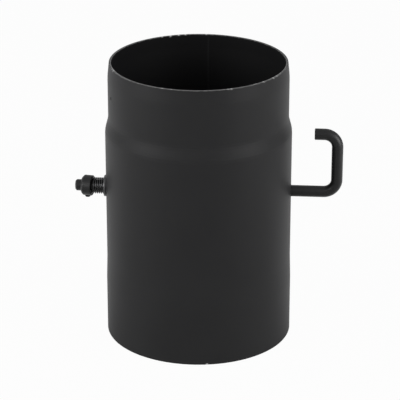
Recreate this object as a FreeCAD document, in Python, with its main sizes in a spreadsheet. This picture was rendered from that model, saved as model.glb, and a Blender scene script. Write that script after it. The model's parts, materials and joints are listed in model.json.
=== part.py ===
import FreeCAD, Part
import math
import os

import Sketcher
from FreeCAD import Placement, Rotation, Vector

# A flue pipe section with a turning flap. The pipe stands on its socket end, with its axis on Z and the
# origin in the middle of the bottom rim. The spindle lies along X and its bent handle is on the +X side.
# Outside the opposite wall a spring, squeezed by a set collar, gives the drag that holds the flap in place.

# Driving dimensions in millimetres: alias, value, meaning.
SIZES = [
    ("pipe_length", 250, "overall length of the pipe"),
    ("socket_bore", 160, "inside diameter of the lower end, which takes the next pipe's spigot"),
    ("sheet_thickness", 2, "steel sheet of the pipe"),
    ("socket_depth", 50, "length of the lower end that is sized to the bore"),
    ("sizing_step", 0.6, "how much larger in radius the sized lower end is than the body"),
    ("sizing_taper", 20, "length over which the sizing fades into the body"),
    ("spigot_length", 49.5, "upper end from the swage to the rim"),
    ("swage_length", 13, "height of the swage, its two bends included"),
    ("swage_step", 2.9, "how much the radius drops at the swage"),
    ("swage_bend", 10, "bend radius of the swage in the middle of the sheet"),
    ("lean_length", 12, "height over which the upper rim leans in"),
    ("lean_step", 1.3, "how much the upper rim leans in"),
    ("rim_chamfer", 0.4, "broken outer edge of both rims"),
    ("spindle_height", 132.5, "height of the spindle's axis"),
    ("rod_diameter", 10, "round bar of the spindle and handle"),
    ("rod_play", 0.25, "radial play of the spindle in the pipe and in the washers"),
    ("rod_overhang", 6, "bar left over beyond the collar"),
    ("rod_chamfer", 1.2, "chamfer of the bar's plain end"),
    ("grip_reach", 39.8, "handle's upright, from the pipe's skin to its centre line"),
    ("grip_rise", 53.5, "handle's upper leg above the spindle, between centre lines"),
    ("grip_end_gap", 19.7, "handle's cut end, from the pipe's skin"),
    ("grip_bend", 11.5, "centre-line radius of the handle's two bends"),
    ("grip_chamfer", 0.5, "broken edge of the handle's cut end"),
    ("flap_thickness", 2, "steel sheet of the flap"),
    ("flap_gap", 3, "gap between the flap's edge and the pipe's wall"),
    ("flat_depth", 2, "depth of the flats milled on the bar, for the flap and for the nuts"),
    ("flat_margin", 0.8, "how far the long flat runs beyond the flap's edge"),
    ("nut_flat_length", 14, "length of each flat under a nut"),
    ("vent_diameter", 20, "hole in each half of the flap, which keeps some draught when it is shut"),
    ("vent_offset", 42, "distance of these holes from the spindle's axis"),
    ("bolt_spacing", 80, "distance between the two bolts that hold the flap"),
    ("bolt_diameter", 5, "thread diameter of the bolts"),
    ("bolt_length", 16, "bolt below its head"),
    ("bolt_chamfer", 0.6, "chamfer of the bolts' tips"),
    ("bolt_play", 0.25, "radial play of the bolts in the flap and the bar"),
    ("hex_width", 8, "width across flats of the bolt heads and nuts"),
    ("head_height", 3.5, "height of the bolt heads"),
    ("nut_height", 4, "height of the nuts"),
    ("nut_play", 0.05, "radial play between nut and bolt, which the thread would fill"),
    ("lock_washer_outer", 9.2, "outside diameter of the split lock washers"),
    ("lock_washer_thickness", 1.2, "thickness of the split lock washers"),
    ("lock_washer_slit", 0.8, "width of their slit"),
    ("washer_outer", 19, "outside diameter of the two spindle washers"),
    ("washer_thickness", 2, "thickness of the spindle washers"),
    ("seat_gap", 0.05, "hairline left where a piece bears on another"),
    ("slip_gap", 0.15, "gap where the turning pieces rub on the fixed washers"),
    ("spring_length", 10, "length of the spring as fitted"),
    ("spring_wire", 1.5, "wire of the spring"),
    ("spring_play", 0.75, "radial gap between spring and bar"),
    ("spring_turns", 5.9, "turns of the spring, ground ends included"),
    ("spring_tip", 0.35, "thickness of the wire's tip where the ends are ground flat"),
    ("collar_outer", 18, "outside diameter of the set collar"),
    ("collar_width", 9.4, "width of the set collar"),
    ("collar_chamfer", 1.8, "chamfer of the collar's free end"),
    ("collar_edge", 0.5, "chamfer of the collar's end at the spring"),
    ("collar_play", 0.05, "radial play of the collar on the bar"),
    ("screw_diameter", 5, "thread diameter of the set screw"),
    ("screw_length", 6, "length of the set screw"),
    ("screw_play", 0.05, "radial play of the set screw, which the thread would fill"),
    ("screw_point", 3.5, "diameter of the set screw's flat point"),
    ("screw_chamfer", 0.6, "chamfer round the set screw's socket"),
    ("screw_seat_depth", 0.4, "depth of the spot drilled in the bar for the set screw"),
    ("screw_key", 2.5, "width across flats of the set screw's socket"),
    ("screw_key_depth", 2.5, "depth of the set screw's socket"),
    ("pin_diameter", 3, "outside diameter of the slotted pin that stops the spindle inside"),
    ("pin_bore", 1.8, "inside diameter of the slotted pin"),
    ("pin_slit", 0.6, "width of the pin's slit"),
    ("pin_length", 18, "length of the slotted pin"),
    ("pin_play", 0.02, "radial play of the pin in the bar"),
]

# Sizes and places worked out from the driving dimensions: alias, formula.
LAYOUT = [
    ("socket_inner", "sizes.socket_bore / 2"),
    ("socket_outer", "socket_inner + sizes.sheet_thickness"),
    ("body_inner", "socket_inner - sizes.sizing_step"),
    ("body_outer", "body_inner + sizes.sheet_thickness"),
    ("spigot_outer", "body_outer - sizes.swage_step"),
    ("spigot_inner", "spigot_outer - sizes.sheet_thickness"),
    ("swage_top", "sizes.pipe_length - sizes.spigot_length"),
    ("swage_bottom", "swage_top - sizes.swage_length"),
    ("sizing_top", "sizes.socket_depth + sizes.sizing_taper"),
    ("tight_bend", "sizes.swage_bend - sizes.sheet_thickness / 2"),
    ("wide_bend", "sizes.swage_bend + sizes.sheet_thickness / 2"),
    ("bends_across", "2 * sizes.swage_bend - sizes.swage_step"),
    ("bends_apart", "sqrt(bends_across ^ 2 + sizes.swage_length ^ 2)"),
    ("swage_angle", "asin(2 * sizes.swage_bend / bends_apart) - atan(bends_across / sizes.swage_length)"),
    ("lean_bottom", "sizes.pipe_length - sizes.lean_length"),
    ("rim_outer", "spigot_outer - sizes.lean_step"),
    ("rim_inner", "spigot_inner - sizes.lean_step"),
    ("rod_radius", "sizes.rod_diameter / 2"),
    ("rod_bore", "rod_radius + sizes.rod_play"),
    ("washer_radius", "sizes.washer_outer / 2"),
    ("outer_washer_seat", "body_outer + sizes.seat_gap"),
    ("spring_seat", "outer_washer_seat + sizes.washer_thickness + sizes.slip_gap"),
    ("collar_seat", "spring_seat + sizes.spring_length + sizes.seat_gap"),
    ("collar_middle", "collar_seat + sizes.collar_width / 2"),
    ("rod_end", "collar_seat + sizes.collar_width + sizes.rod_overhang"),
    ("inner_washer_seat", "sqrt(body_inner ^ 2 - washer_radius ^ 2) - sizes.seat_gap"),
    ("pin_radius", "sizes.pin_diameter / 2"),
    ("pin_place", "inner_washer_seat - sizes.washer_thickness - sizes.slip_gap - pin_radius"),
    ("grip_place", "body_outer + sizes.grip_reach"),
    ("grip_end", "body_outer + sizes.grip_end_gap"),
    ("flap_radius", "body_inner - sizes.flap_gap"),
    ("flat_half", "flap_radius + sizes.flat_margin"),
    ("flat_face", "rod_radius - sizes.flat_depth"),
    ("flap_face", "flat_face + sizes.flap_thickness"),
    ("nut_face", "flat_face + sizes.lock_washer_thickness"),
    ("bolt_place", "sizes.bolt_spacing / 2"),
    ("bolt_radius", "sizes.bolt_diameter / 2"),
    ("bolt_hole", "bolt_radius + sizes.bolt_play"),
    ("spring_radius", "rod_radius + sizes.spring_play + sizes.spring_wire / 2"),
    ("spring_start", "sizes.spring_tip - sizes.spring_wire / 2"),
    ("coil_height", "sizes.spring_length - 2 * spring_start"),
    ("screw_radius", "sizes.screw_diameter / 2"),
    ("screw_seat", "rod_radius - sizes.screw_seat_depth + sizes.seat_gap"),
]

# Turns that lay a piece's own Z axis along the named direction.
TO_MINUS_X = Rotation(Vector(0, 1, 0), -90)
TO_PLUS_X = Rotation(Vector(0, 1, 0), 90)
TO_PLUS_Y = Rotation(Vector(1, 0, 0), -90)
TO_MINUS_Y = Rotation(Vector(1, 0, 0), 90)
TO_MINUS_Z = Rotation(Vector(1, 0, 0), 180)
UPRIGHT = Rotation()

# Sides of the bolt heads, nuts and socket.
HEXAGON = 6

# Flat sides that stand for the spring's round wire, and straight runs that stand for a turn of it.
WIRE_SIDES = 8
RUNS_PER_TURN = 20

# Side of an arc's centre, seen along the outline.
LEFT, RIGHT = 1, -1

# How close a measured edge must lie to the place it is looked for.
EDGE_TOLERANCE = 1e-4

doc = FreeCAD.newDocument("stove_pipe_damper")


def make_sheets():
    """Writes the driving dimensions and the worked-out places into two spreadsheets."""
    sizes = doc.addObject("Spreadsheet::Sheet", "sizes")
    for row, (alias, value, meaning) in enumerate(SIZES, start=1):
        sizes.set(f"A{row}", meaning)
        sizes.set(f"B{row}", str(value))
        sizes.setAlias(f"B{row}", alias)
    doc.recompute()
    layout = doc.addObject("Spreadsheet::Sheet", "layout")
    for row, (alias, formula) in enumerate(LAYOUT, start=1):
        layout.set(f"B{row}", "=" + formula)
        layout.setAlias(f"B{row}", alias)
        doc.recompute()
    return layout


layout = make_sheets()


def number(expression):
    """Value of an expression of the spreadsheets."""
    return float(layout.evalExpression(expression))


def make_body(label, turn=UPRIGHT, **base):
    """A body whose base point is given, per axis, by expressions."""
    body = doc.addObject("PartDesign::Body", label)
    body.Label = label
    body.Placement = Placement(Vector(), turn)
    for axis, expression in base.items():
        body.setExpression(f"Placement.Base.{axis}", expression)
    return body


def make_sketch(body, name, plane, offset=None):
    """A sketch on one of the body's origin planes, moved along the plane's normal if an offset is given."""
    sketch = body.newObject("Sketcher::SketchObject", name)
    support = next(item for item in body.Origin.OriginFeatures if item.Role == plane)
    sketch.AttachmentSupport = [(support, "")]
    sketch.MapMode = "FlatFace"
    if offset:
        sketch.setExpression("AttachmentOffset.Base.z", offset)
    return sketch


def dimension(sketch, kind, references, expression):
    """Adds a dimension to a sketch and ties it to an expression."""
    index = sketch.addConstraint(Sketcher.Constraint(kind, *references, number(expression)))
    sketch.setExpression(f"Constraints[{index}]", expression)


def pin_point(sketch, geometry, point, place):
    """Ties a point of a sketch to a pair of expressions measured from the sketch's origin."""
    dimension(sketch, "DistanceX", (-1, 1, geometry, point), place[0])
    dimension(sketch, "DistanceY", (-1, 1, geometry, point), place[1])


def draw_bend(sketch, start, end, radius, side):
    """Draws an arc from start to end with its centre on one side of the way: LEFT or RIGHT.

    Returns the arc's number and the numbers of its points at start and at end.
    """
    chord = end - start
    rise = math.sqrt(number(radius) ** 2 - (chord.Length / 2) ** 2)
    across = Vector(-chord.y, chord.x, 0).normalize()
    centre = (start + end) * 0.5 + across * (side * rise)
    angles = [math.atan2(point.y - centre.y, point.x - centre.x) for point in (start, end)]
    circle = Part.Circle(centre, Vector(0, 0, 1), number(radius))
    arc = sketch.addGeometry(Part.ArcOfCircle(circle, *angles[::side]))
    dimension(sketch, "Radius", (arc,), radius)
    return (arc, 1, 2) if side == LEFT else (arc, 2, 1)


def draw_outline(sketch, corners):
    """Draws a closed outline through corners given as pairs of expressions.

    The run from a corner to the next is straight, unless the corner also names an arc's radius and side.
    """
    points = [Vector(number(corner[0]), number(corner[1]), 0) for corner in corners]
    runs = []
    for corner, start, end in zip(corners, points, points[1:] + points[:1]):
        if len(corner) > 2:
            runs.append(draw_bend(sketch, start, end, *corner[2:]))
        else:
            runs.append((sketch.addGeometry(Part.LineSegment(start, end)), 1, 2))
    for corner, run, following in zip(corners, runs, runs[1:] + runs[:1]):
        sketch.addConstraint(Sketcher.Constraint("Coincident", run[0], run[2], following[0], following[1]))
        pin_point(sketch, run[0], run[1], corner)


def draw_circle(sketch, radius, place=("0", "0")):
    """Draws a circle with its radius and centre given by expressions."""
    centre = Vector(number(place[0]), number(place[1]), 0)
    circle = sketch.addGeometry(Part.Circle(centre, Vector(0, 0, 1), number(radius)))
    pin_point(sketch, circle, 3, place)
    dimension(sketch, "Radius", (circle,), radius)


def draw_box(sketch, left, right, bottom, top):
    """Draws a rectangle between four expressions."""
    draw_outline(sketch, [(left, bottom), (right, bottom), (right, top), (left, top)])


def draw_polygon(sketch, sides, width, place=("0", "0")):
    """Draws a regular polygon with an even number of sides from its width across flats and its centre."""
    radius = f"{width} / 2 / cos({180 / sides})"
    angles = [360 * (corner + 0.5) / sides for corner in range(sides)]
    across, up = place
    draw_outline(sketch, [
        (f"{across} + {radius} * cos({angle})", f"{up} + {radius} * sin({angle})") for angle in angles
    ])


def add_pad(body, name, sketch, length, reverse=False):
    """Raises a sketch into a solid."""
    pad = body.newObject("PartDesign::Pad", name)
    pad.Profile = sketch
    pad.setExpression("Length", length)
    pad.Reversed = reverse
    doc.recompute()
    return pad


def add_pocket(body, name, sketch, length=None, reverse=False):
    """Cuts a sketch out of a body: to a depth, or both ways through everything where no depth is given."""
    before = body.Shape.Volume
    pocket = body.newObject("PartDesign::Pocket", name)
    pocket.Profile = sketch
    if length:
        pocket.setExpression("Length", length)
        pocket.Reversed = reverse
    else:
        pocket.Type = "ThroughAll"
        pocket.SideType = "Symmetric"
    doc.recompute()
    if body.Shape.Volume >= before:
        raise RuntimeError(f"{body.Label}: {name} cuts nothing")
    return pocket


def round_edges(feature, radius, height):
    """Names of a feature's full round edges about its own Z axis with this radius at this height."""
    names = []
    for index, edge in enumerate(feature.Shape.Edges, start=1):
        if not isinstance(edge.Curve, Part.Circle):
            continue
        centre = edge.Curve.Center
        off_axis = max(abs(centre.x), abs(centre.y))
        misfit = max(abs(edge.Curve.Radius - number(radius)), abs(centre.z - number(height)), off_axis)
        if misfit < EDGE_TOLERANCE:
            names.append(f"Edge{index}")
    if not names:
        raise RuntimeError(f"{feature.Name}: no round edge of {radius} at {height}")
    return names


def ease_edges(body, kind, name, feature, places, size):
    """Adds a fillet or a chamfer on the round edges of a feature at (radius, height) places."""
    names = [edge for place in places for edge in round_edges(feature, *place)]
    ease = body.newObject("PartDesign::" + kind, name)
    ease.Base = (feature, names)
    ease.setExpression("Radius" if kind == "Fillet" else "Size", size)
    doc.recompute()
    return ease


def pattern_bolts(body):
    """Repeats a whole body once along the spindle, from the first bolt to the second."""
    pattern = body.newObject("PartDesign::LinearPattern", body.Name + "_pair")
    pattern.TransformMode = "Whole shape"
    pattern.Direction = (next(item for item in body.Origin.OriginFeatures if item.Role == "X_Axis"), [""])
    pattern.Occurrences = 2
    pattern.setExpression("Length", "sizes.bolt_spacing")
    body.Tip = pattern
    doc.recompute()


def wall_section():
    """Corners of the pipe's wall: up the outside, over the rim and down the inside.

    The two faces of the sheet share the centres of their bends, so the wall keeps its thickness.
    """

    def on_lower_bend(radius):
        return (
            f"layout.body_outer - layout.wide_bend + {radius} * cos(layout.swage_angle)",
            f"layout.swage_bottom + {radius} * sin(layout.swage_angle)",
        )

    def on_upper_bend(radius):
        return (
            f"layout.spigot_outer + layout.tight_bend - {radius} * cos(layout.swage_angle)",
            f"layout.swage_top - {radius} * sin(layout.swage_angle)",
        )

    return [
        ("layout.socket_outer", "0"),
        ("layout.socket_outer", "sizes.socket_depth"),
        ("layout.body_outer", "layout.sizing_top"),
        ("layout.body_outer", "layout.swage_bottom", "layout.wide_bend", LEFT),
        on_lower_bend("layout.wide_bend"),
        (*on_upper_bend("layout.tight_bend"), "layout.tight_bend", RIGHT),
        ("layout.spigot_outer", "layout.swage_top"),
        ("layout.spigot_outer", "layout.lean_bottom"),
        ("layout.rim_outer", "sizes.pipe_length"),
        ("layout.rim_inner", "sizes.pipe_length"),
        ("layout.spigot_inner", "layout.lean_bottom"),
        ("layout.spigot_inner", "layout.swage_top", "layout.wide_bend", LEFT),
        on_upper_bend("layout.wide_bend"),
        (*on_lower_bend("layout.tight_bend"), "layout.tight_bend", RIGHT),
        ("layout.body_inner", "layout.swage_bottom"),
        ("layout.body_inner", "layout.sizing_top"),
        ("layout.socket_inner", "sizes.socket_depth"),
        ("layout.socket_inner", "0"),
    ]


def make_pipe_body():
    """Rolled sheet pipe: sized socket below, straight body, swage and spigot with a leaning rim above."""
    body = make_body("pipe_body")
    wall = make_sketch(body, "wall_section", "XZ_Plane")
    draw_outline(wall, wall_section())
    turned = body.newObject("PartDesign::Revolution", "rolled_wall")
    turned.Profile = wall
    turned.ReferenceAxis = (wall, ["V_Axis"])
    turned.Angle = 360
    doc.recompute()
    rims = [("layout.socket_outer", "0"), ("layout.rim_outer", "sizes.pipe_length")]
    ease_edges(body, "Chamfer", "rim_edges", turned, rims, "sizes.rim_chamfer")
    holes = make_sketch(body, "spindle_hole_outline", "YZ_Plane")
    draw_circle(holes, "layout.rod_bore", ("0", "sizes.spindle_height"))
    add_pocket(body, "spindle_holes", holes)
    return body


def draw_handle_path(sketch):
    """Draws the bar's centre line: along the spindle, up the handle's grip and back towards the pipe."""
    reach, rise = number("layout.grip_place"), number("sizes.grip_rise")
    bend = number("sizes.grip_bend")
    left, end = -number("layout.rod_end"), number("layout.grip_end")
    lower = Part.Circle(Vector(reach - bend, bend, 0), Vector(0, 0, 1), bend)
    upper = Part.Circle(Vector(reach - bend, rise - bend, 0), Vector(0, 0, 1), bend)
    spindle = sketch.addGeometry(Part.LineSegment(Vector(left, 0, 0), Vector(reach - bend, 0, 0)))
    lower_bend = sketch.addGeometry(Part.ArcOfCircle(lower, -math.pi / 2, 0))
    grip = sketch.addGeometry(Part.LineSegment(Vector(reach, bend, 0), Vector(reach, rise - bend, 0)))
    upper_bend = sketch.addGeometry(Part.ArcOfCircle(upper, 0, math.pi / 2))
    leg = sketch.addGeometry(Part.LineSegment(Vector(reach - bend, rise, 0), Vector(end, rise, 0)))
    runs = [spindle, lower_bend, grip, upper_bend, leg]
    for run, following in zip(runs, runs[1:]):
        sketch.addConstraint(Sketcher.Constraint("Tangent", run, 2, following, 1))
    sketch.addConstraint(Sketcher.Constraint("Horizontal", spindle))
    sketch.addConstraint(Sketcher.Constraint("Vertical", grip))
    sketch.addConstraint(Sketcher.Constraint("Equal", lower_bend, upper_bend))
    pin_point(sketch, spindle, 1, ("-layout.rod_end", "0"))
    pin_point(sketch, leg, 2, ("layout.grip_end", "sizes.grip_rise"))
    dimension(sketch, "DistanceX", (-1, 1, grip, 1), "layout.grip_place")
    dimension(sketch, "Radius", (lower_bend,), "sizes.grip_bend")


def bar_end_edge(feature, across):
    """Name of the round edge at the bar's end whose plane stands at this place along X."""
    for index, edge in enumerate(feature.Shape.Edges, start=1):
        box = edge.BoundBox
        if max(abs(box.XMin - across), abs(box.XMax - across)) < EDGE_TOLERANCE:
            return f"Edge{index}"
    raise RuntimeError(f"{feature.Name}: no end edge at {across}")


def chamfer_end(body, name, feature, across, size):
    """Chamfers the bar's end at a place along X."""
    chamfer = body.newObject("PartDesign::Chamfer", name)
    chamfer.Base = (feature, [bar_end_edge(feature, number(across))])
    chamfer.setExpression("Size", size)
    doc.recompute()
    return chamfer


def make_spindle_handle():
    """One bent round bar: spindle and handle, with the flats and holes of the pieces it carries."""
    body = make_body("spindle_handle", z="sizes.spindle_height")
    path = make_sketch(body, "centre_line", "XZ_Plane")
    draw_handle_path(path)
    section = make_sketch(body, "bar_section", "YZ_Plane", offset="-layout.rod_end")
    draw_circle(section, "layout.rod_radius")
    bar = body.newObject("PartDesign::AdditivePipe", "bent_bar")
    bar.Profile = section
    bar.Spine = (path, [])
    doc.recompute()
    plain_end = chamfer_end(body, "plain_end", bar, "-layout.rod_end", "sizes.rod_chamfer")
    chamfer_end(body, "cut_end", plain_end, "layout.grip_end", "sizes.grip_chamfer")

    flap_flat = make_sketch(body, "flap_flat_outline", "XY_Plane")
    draw_box(flap_flat, "-layout.flat_half", "layout.flat_half", "layout.flat_face", "layout.rod_radius")
    add_pocket(body, "flap_flat", flap_flat)
    for side, sign in (("left", "-"), ("right", "")):
        nut_flat = make_sketch(body, f"{side}_nut_flat_outline", "XY_Plane")
        left = f"{sign}layout.bolt_place - sizes.nut_flat_length / 2"
        right = f"{sign}layout.bolt_place + sizes.nut_flat_length / 2"
        draw_box(nut_flat, left, right, "-layout.rod_radius", "-layout.flat_face")
        add_pocket(body, f"{side}_nut_flat", nut_flat)

    bolt_holes = make_sketch(body, "bolt_hole_outline", "XZ_Plane")
    for sign in ("-", ""):
        draw_circle(bolt_holes, "layout.bolt_hole", (f"{sign}layout.bolt_place", "0"))
    add_pocket(body, "bolt_holes", bolt_holes)
    pin_hole = make_sketch(body, "pin_hole_outline", "XY_Plane")
    draw_circle(pin_hole, "layout.pin_radius + sizes.pin_play", ("-layout.pin_place", "0"))
    add_pocket(body, "pin_hole", pin_hole)
    spot = make_sketch(body, "screw_spot_outline", "XY_Plane", offset="-layout.rod_radius")
    draw_circle(spot, "layout.screw_radius + sizes.screw_play", ("-layout.collar_middle", "0"))
    add_pocket(body, "screw_spot", spot, "sizes.screw_seat_depth", reverse=True)
    return body


def make_damper_flap():
    """Round sheet flap, drilled for its two bolts and with a vent hole in each half."""
    body = make_body("damper_flap", TO_PLUS_Y, y="layout.flat_face", z="sizes.spindle_height")
    disc = make_sketch(body, "disc_outline", "XY_Plane")
    draw_circle(disc, "layout.flap_radius")
    add_pad(body, "disc", disc, "sizes.flap_thickness")
    holes = make_sketch(body, "flap_hole_outline", "XY_Plane")
    for sign in ("-", ""):
        draw_circle(holes, "layout.bolt_hole", (f"{sign}layout.bolt_place", "0"))
        draw_circle(holes, "sizes.vent_diameter / 2", ("0", f"{sign}sizes.vent_offset"))
    add_pocket(body, "flap_holes", holes)
    return body


def make_flap_bolts():
    """Two hexagon bolts through the flap and the bar, heads on the flap."""
    body = make_body("flap_bolts", TO_MINUS_Y, x="-layout.bolt_place", y="layout.flap_face",
                     z="sizes.spindle_height")
    shank_outline = make_sketch(body, "shank_outline", "XY_Plane")
    draw_circle(shank_outline, "layout.bolt_radius")
    shank = add_pad(body, "shank", shank_outline, "sizes.bolt_length")
    tip = ("layout.bolt_radius", "sizes.bolt_length")
    ease_edges(body, "Chamfer", "shank_tip", shank, [tip], "sizes.bolt_chamfer")
    head_outline = make_sketch(body, "head_outline", "XY_Plane")
    draw_polygon(head_outline, HEXAGON, "sizes.hex_width")
    add_pad(body, "head", head_outline, "sizes.head_height", reverse=True)
    pattern_bolts(body)
    return body


def make_flap_lock_washers():
    """Two split washers between the bar's small flats and the nuts."""
    body = make_body("flap_lock_washers", TO_MINUS_Y, x="-layout.bolt_place", y="-layout.flat_face",
                     z="sizes.spindle_height")
    ring = make_sketch(body, "lock_ring_outline", "XY_Plane")
    draw_circle(ring, "sizes.lock_washer_outer / 2")
    draw_circle(ring, "layout.bolt_hole")
    add_pad(body, "lock_ring", ring, "sizes.lock_washer_thickness")
    slit = make_sketch(body, "lock_slit_outline", "XY_Plane")
    half = "sizes.lock_washer_slit / 2"
    draw_box(slit, "0", "sizes.lock_washer_outer", f"-{half}", half)
    add_pocket(body, "lock_slit", slit)
    pattern_bolts(body)
    return body


def make_flap_nuts():
    """Two hexagon nuts on the flap's bolts."""
    body = make_body("flap_nuts", TO_MINUS_Y, x="-layout.bolt_place", y="-layout.nut_face",
                     z="sizes.spindle_height")
    nut = make_sketch(body, "nut_outline", "XY_Plane")
    draw_polygon(nut, HEXAGON, "sizes.hex_width")
    draw_circle(nut, "layout.bolt_radius + sizes.nut_play")
    add_pad(body, "nut", nut, "sizes.nut_height")
    pattern_bolts(body)
    return body


def make_spindle_washer(label, turn, place):
    """Plain flat washer on the spindle."""
    body = make_body(label, turn, x=place, z="sizes.spindle_height")
    ring = make_sketch(body, label + "_outline", "XY_Plane")
    draw_circle(ring, "layout.washer_radius")
    draw_circle(ring, "layout.rod_bore")
    add_pad(body, label + "_ring", ring, "sizes.washer_thickness")
    return body


def make_coil_line():
    """Centre line of the spring's wire as short straight runs, in the axes of the spring's body.

    A polygon takes no expressions, so its points are worked out from the spreadsheets here.
    """
    turns, radius = number("sizes.spring_turns"), number("layout.spring_radius")
    start, height = number("layout.spring_start"), number("layout.coil_height")
    runs = round(turns * RUNS_PER_TURN)
    points = []
    for run in range(runs + 1):
        angle = 2 * math.pi * turns * run / runs
        points.append(Vector(radius * math.cos(angle), radius * math.sin(angle), start + height * run / runs))
    line = doc.addObject("Part::Polygon", "coil_line")
    line.Nodes = points
    doc.recompute()
    return line


def make_friction_spring():
    """Compression spring between the outer washer and the collar, wound on the bar, with ends ground flat."""
    body = make_body("friction_spring", TO_MINUS_X, x="-layout.spring_seat", z="sizes.spindle_height")
    wire = make_sketch(body, "wire_section", "XZ_Plane")
    draw_polygon(wire, WIRE_SIDES, "sizes.spring_wire", ("layout.spring_radius", "layout.spring_start"))
    coil = body.newObject("PartDesign::AdditivePipe", "coil")
    coil.Profile = wire
    coil.Spine = (make_coil_line(), [])
    coil.Transition = "Right corner"
    doc.recompute()
    for name, place, upwards in (("lower", None, False), ("upper", "sizes.spring_length", True)):
        ground = make_sketch(body, f"{name}_grinding_outline", "XY_Plane", offset=place)
        draw_circle(ground, "layout.spring_radius + sizes.spring_wire")
        add_pocket(body, f"{name}_grinding", ground, "sizes.spring_wire", reverse=upwards)
    return body


def make_set_collar():
    """Turned collar that holds the spring squeezed, with a cross hole for its screw."""
    body = make_body("set_collar", TO_MINUS_X, x="-layout.collar_seat", z="sizes.spindle_height")
    ring = make_sketch(body, "collar_outline", "XY_Plane")
    draw_circle(ring, "sizes.collar_outer / 2")
    draw_circle(ring, "layout.rod_radius + sizes.collar_play")
    collar = add_pad(body, "collar_ring", ring, "sizes.collar_width")
    outer = "sizes.collar_outer / 2"
    far = (outer, "sizes.collar_width")
    free_end = ease_edges(body, "Chamfer", "free_end", collar, [far], "sizes.collar_chamfer")
    ease_edges(body, "Chamfer", "spring_end", free_end, [(outer, "0")], "sizes.collar_edge")
    hole = make_sketch(body, "screw_hole_outline", "YZ_Plane")
    draw_circle(hole, "layout.screw_radius + sizes.screw_play", ("0", "sizes.collar_width / 2"))
    add_pocket(body, "screw_hole", hole, "sizes.collar_outer")
    return body


def make_set_screw():
    """Headless screw with a hexagon socket, pointing up at the bar from below."""
    body = make_body("set_screw", TO_MINUS_Z, x="-layout.collar_middle",
                     z="sizes.spindle_height - layout.screw_seat")
    outline = make_sketch(body, "screw_outline", "XY_Plane")
    draw_circle(outline, "layout.screw_radius")
    shank = add_pad(body, "screw_shank", outline, "sizes.screw_length")
    point = ("layout.screw_radius", "0")
    bevel = "layout.screw_radius - sizes.screw_point / 2"
    tip = ease_edges(body, "Chamfer", "screw_tip", shank, [point], bevel)
    end = ("layout.screw_radius", "sizes.screw_length")
    ease_edges(body, "Chamfer", "screw_end", tip, [end], "sizes.screw_chamfer")
    key = make_sketch(body, "key_outline", "XY_Plane", offset="sizes.screw_length")
    draw_polygon(key, HEXAGON, "sizes.screw_key")
    add_pocket(body, "key_socket", key, "sizes.screw_key_depth")
    return body


def make_stop_pin():
    """Slotted spring pin across the bar, which takes the spring's pull on the inner washer."""
    body = make_body("stop_pin", x="-layout.pin_place", z="sizes.spindle_height - sizes.pin_length / 2")
    tube = make_sketch(body, "pin_outline", "XY_Plane")
    draw_circle(tube, "layout.pin_radius")
    draw_circle(tube, "sizes.pin_bore / 2")
    add_pad(body, "pin_tube", tube, "sizes.pin_length")
    slit = make_sketch(body, "pin_slit_outline", "XY_Plane")
    draw_box(slit, "-sizes.pin_slit / 2", "sizes.pin_slit / 2", "-sizes.pin_diameter", "0")
    add_pocket(body, "pin_slit", slit)
    return body


def check_document(pieces):
    """Stops the build where an object failed or a piece's shape is empty or unsound."""
    for item in doc.Objects:
        if {"Invalid", "Error"} & set(item.State):
            raise RuntimeError(f"{item.Label} failed: {item.State}")
    for piece in pieces:
        if piece.Shape.isNull() or not piece.Shape.isValid() or not piece.Shape.Solids:
            raise RuntimeError(f"{piece.Label} has no sound solid")


def write_pieces(pieces):
    """Writes each piece to a file named after its label."""
    os.makedirs("parts", exist_ok=True)
    for piece in pieces:
        piece.Shape.exportStep(os.path.join("parts", piece.Label + ".step"))


pieces = [
    make_pipe_body(),
    make_spindle_handle(),
    make_damper_flap(),
    make_flap_bolts(),
    make_flap_lock_washers(),
    make_flap_nuts(),
    make_spindle_washer("outer_washer", TO_MINUS_X, "-layout.outer_washer_seat"),
    make_spindle_washer("inner_washer", TO_PLUS_X, "-layout.inner_washer_seat"),
    make_friction_spring(),
    make_set_collar(),
    make_set_screw(),
    make_stop_pin(),
]
doc.recompute()
check_document(pieces)
write_pieces(pieces)
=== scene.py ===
"""Looks of a stove pipe damper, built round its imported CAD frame.

The pipe stands on the floor with its axis on Z, and its spindle lies along X. Sizes are in millimetres, as on
a workshop drawing, and become metres where a mesh is made.
"""
import json
import logging
import math
from collections.abc import Callable, Sequence
from dataclasses import dataclass, field
from enum import Enum

import bmesh
import bpy
from mathutils import Euler, Matrix, Vector


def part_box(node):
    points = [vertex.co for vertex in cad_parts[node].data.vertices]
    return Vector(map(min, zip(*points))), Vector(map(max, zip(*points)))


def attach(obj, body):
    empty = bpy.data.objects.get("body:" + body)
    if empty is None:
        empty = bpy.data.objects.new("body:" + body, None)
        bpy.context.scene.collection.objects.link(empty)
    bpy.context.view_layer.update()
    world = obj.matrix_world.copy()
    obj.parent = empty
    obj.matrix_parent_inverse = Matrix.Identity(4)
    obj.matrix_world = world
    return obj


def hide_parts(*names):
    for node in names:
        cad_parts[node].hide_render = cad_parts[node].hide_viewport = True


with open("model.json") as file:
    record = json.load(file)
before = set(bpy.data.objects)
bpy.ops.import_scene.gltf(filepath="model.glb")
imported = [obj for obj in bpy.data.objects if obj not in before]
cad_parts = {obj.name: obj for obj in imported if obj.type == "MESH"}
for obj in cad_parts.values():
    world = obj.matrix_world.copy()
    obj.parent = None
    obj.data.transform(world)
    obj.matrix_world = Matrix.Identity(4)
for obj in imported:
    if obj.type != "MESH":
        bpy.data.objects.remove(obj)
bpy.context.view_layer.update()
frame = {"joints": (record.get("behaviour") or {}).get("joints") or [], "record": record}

Piece = bpy.types.Object
Material = bpy.types.Material
Tree = bpy.types.NodeTree
Node = bpy.types.Node
Socket = bpy.types.NodeSocket
Mesh = bmesh.types.BMesh
Point = tuple[float, float]
Corner = tuple[float, float, float]
Colour = tuple[float, float, float, float]
Inputs = dict[str | int, object]

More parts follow.
